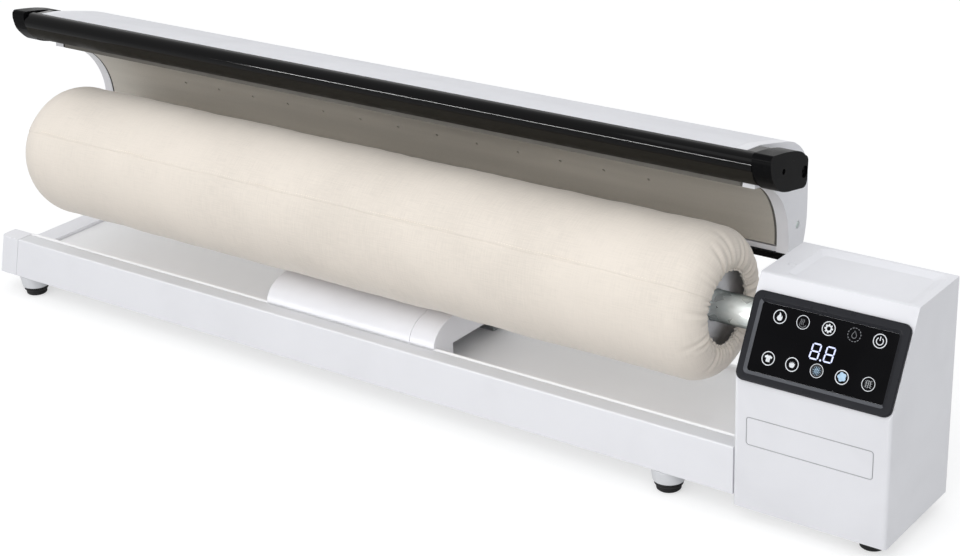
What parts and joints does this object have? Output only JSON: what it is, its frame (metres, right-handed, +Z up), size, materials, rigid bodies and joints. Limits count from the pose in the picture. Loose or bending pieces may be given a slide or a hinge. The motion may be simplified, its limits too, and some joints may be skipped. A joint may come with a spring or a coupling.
{
  "type": "rotary flatwork ironer",
  "caption": "Household roller ironer: a padded roller held at one end by a control housing turns under a heated curved shoe on a rear hinge, over a long low base.",
  "frame": {"origin": "on the table under the feet, at the middle of the machine's width and depth with the shoe raised", "axes": "+X along the roller towards the control housing, +Z up, so the operator stands at -Y"},
  "size_m": [1.052, 0.2044, 0.3036],
  "materials": {
    "white_plastic": "satin white moulding",
    "pale_grey_plastic": "matt pale grey moulding",
    "cotton_cover": "woven off-white cotton cover",
    "felt_padding": "needled felt",
    "black_plastic": "gloss black moulding",
    "dark_trim": "matt black-brown moulding",
    "foot_rubber": "moulded black rubber",
    "ironing_plate": "warm grey coated casting",
    "steel": "plain pressed steel",
    "zinc_steel": "zinc-plated steel",
    "circuit_board": "green circuit board",
    "black_glass": "black-backed touch glass",
    "clear_plastic": "natural translucent tank"
  },
  "bodies": {
    "chassis": {"front_rail": "white_plastic", "ledge_strip": "pale_grey_plastic", "deck_tray": "white_plastic", "rear_rail": "white_plastic", "bottom_plate": "steel", "left_end_cap": "white_plastic", "foot_front_left": "foot_rubber", "foot_front_right": "foot_rubber", "foot_rear_left": "foot_rubber", "foot_rear_right": "foot_rubber", "foot_control_front": "foot_rubber", "foot_control_rear": "foot_rubber", "foot_collar_front_left": "pale_grey_plastic", "foot_collar_front_right": "pale_grey_plastic", "foot_collar_rear_left": "pale_grey_plastic", "foot_collar_rear_right": "pale_grey_plastic", "centre_housing": "white_plastic", "centre_housing_end": "white_plastic", "hinge_bracket": "steel", "hinge_pin": "zinc_steel", "lift_motor": "steel", "control_housing": "white_plastic", "panel_bezel": "black_plastic", "touch_glass": "black_glass", "display_module": "circuit_board", "control_base_plate": "steel", "top_plug": "white_plastic", "main_board": "circuit_board", "bearing_frame": "steel", "outer_bearing": "steel", "inner_bearing": "steel", "drive_motor": "steel", "water_tank": "clear_plastic", "tank_bung": "foot_rubber", "power_inlet": "dark_trim"},
    "roller": {"roller_cover": "cotton_cover", "roller_padding": "felt_padding", "roller_drum": "steel", "drum_disc_left": "steel", "drum_disc_right": "steel", "roller_shaft": "zinc_steel", "drive_gear": "steel"},
    "shoe": {"shoe_cover": "white_plastic", "side_cover_left": "white_plastic", "side_cover_right": "white_plastic", "heating_plate": "ironing_plate", "plate_seal_left": "foot_rubber", "plate_seal_right": "foot_rubber", "heating_element": "steel", "lower_trim": "dark_trim", "shoe_arm": "steel", "lift_sector": "steel", "side_screw_left": "zinc_steel", "side_screw_right": "zinc_steel"},
    "guard": {"guard_bar": "black_plastic", "guard_underside": "dark_trim", "guard_end_left": "black_plastic", "guard_end_right": "black_plastic"},
    "lift_gear": {"lift_pinion": "steel"},
    "drive_gear_small": {"drive_pinion": "steel"}
  },
  "joints": [
    {"name": "roller_turn", "type": "hinge", "parent": "chassis", "child": "roller", "pos_m": [-0.066, -0.0348, 0.163], "axis": [1, 0, 0], "continuous": true},
    {"name": "shoe_lift", "type": "hinge", "parent": "chassis", "child": "shoe", "pos_m": [-0.045, 0.0892, 0.095], "axis": [1, 0, 0], "range_deg": [0, 15]},
    {"name": "guard_tilt", "type": "hinge", "parent": "shoe", "child": "guard", "pos_m": [-0.071, 0.02402, 0.27358], "axis": [-1, 0, 0], "range_deg": [0, 3]},
    {"name": "lift_pinion_turn", "type": "hinge", "parent": "chassis", "child": "lift_gear", "pos_m": [0.0093, 0.03759, 0.05886], "axis": [1, 0, 0], "range_deg": [-90, 0]},
    {"name": "drive_pinion_turn", "type": "hinge", "parent": "chassis", "child": "drive_gear_small", "pos_m": [0.4984, -0.0348, 0.1255], "axis": [1, 0, 0], "continuous": true}
  ],
  "couplings": [
    {"joint": "lift_pinion_turn", "follows": "shoe_lift", "ratio": -6},
    {"joint": "drive_pinion_turn", "follows": "roller_turn", "ratio": -4}
  ]
}
